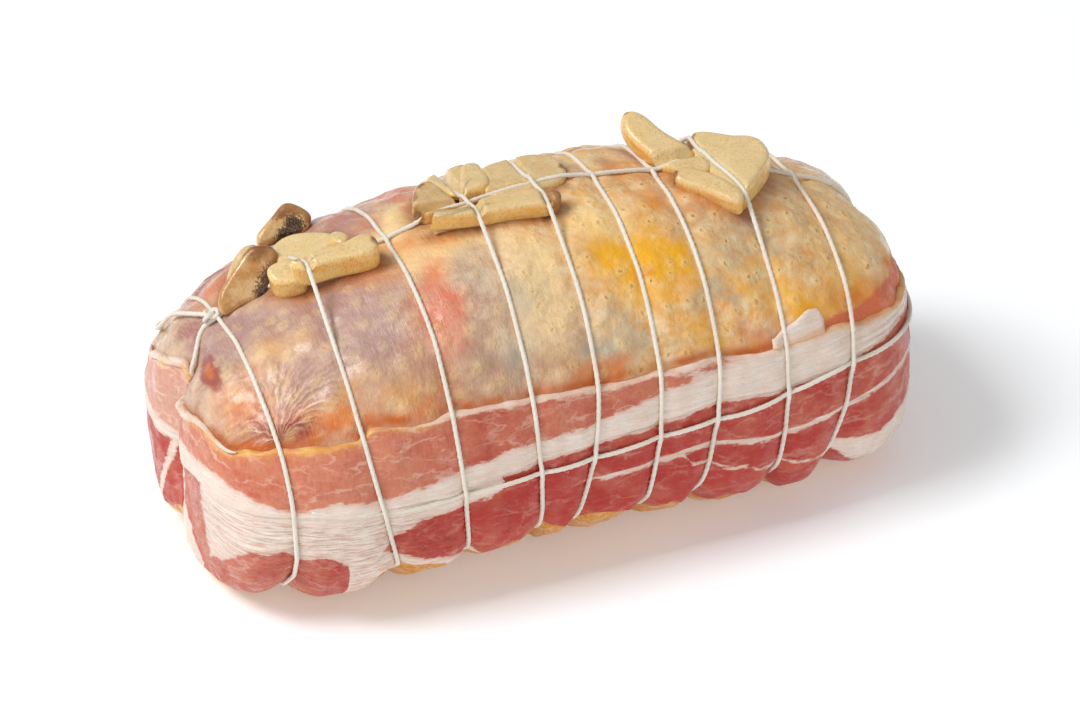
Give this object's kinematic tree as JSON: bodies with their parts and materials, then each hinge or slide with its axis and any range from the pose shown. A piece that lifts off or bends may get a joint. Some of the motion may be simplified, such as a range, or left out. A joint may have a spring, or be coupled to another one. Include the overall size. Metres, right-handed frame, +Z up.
{
  "type": "raw guinea fowl roast",
  "caption": "Raw stuffed guinea fowl rolled into a long loaf, wrapped round its flanks with streaky rashers, tied with white string and topped with sliced mushrooms.",
  "frame": {"origin": "middle of the roast's footprint, on the surface it rests on", "axes": "+X along the roast, from the knotted end to the far end; -Y is the flank with the long front rashers; +Z up through the skin side with the mushrooms"},
  "size_m": [0.2034, 0.1108, 0.0997],
  "materials": {
    "skin": "satin",
    "bard": "satin",
    "mushroom": "satin",
    "string": "matte"
  },
  "bodies": {
    "root": {"bard_back_lower": "bard", "bard_back_upper": "bard", "bard_front_lower": "bard", "bard_front_middle": "bard", "bard_front_upper": "bard", "fowl_roll": "skin", "mushroom_left_block": "mushroom", "mushroom_left_cap_back": "mushroom", "mushroom_left_cap_front": "mushroom", "mushroom_left_chunk": "mushroom", "mushroom_left_slice_flat": "mushroom", "mushroom_left_slice_small": "mushroom", "mushroom_left_slice_thin": "mushroom", "mushroom_mid_cap_left": "mushroom", "mushroom_mid_slice_back": "mushroom", "mushroom_mid_slice_front": "mushroom", "mushroom_mid_slice_pale": "mushroom", "mushroom_mid_slice_upright": "mushroom", "mushroom_right_cap_back": "mushroom", "mushroom_right_slice_front": "mushroom", "mushroom_right_stem": "mushroom", "string_knot": "string", "string_lengthwise": "string", "string_side": "string", "string_turn_1": "string", "string_turn_2": "string", "string_turn_3": "string", "string_turn_4": "string", "string_turn_5": "string", "string_turn_6": "string", "string_turn_7": "string", "string_turn_8": "string", "string_turn_9": "string"}
  },
  "joints": []
}
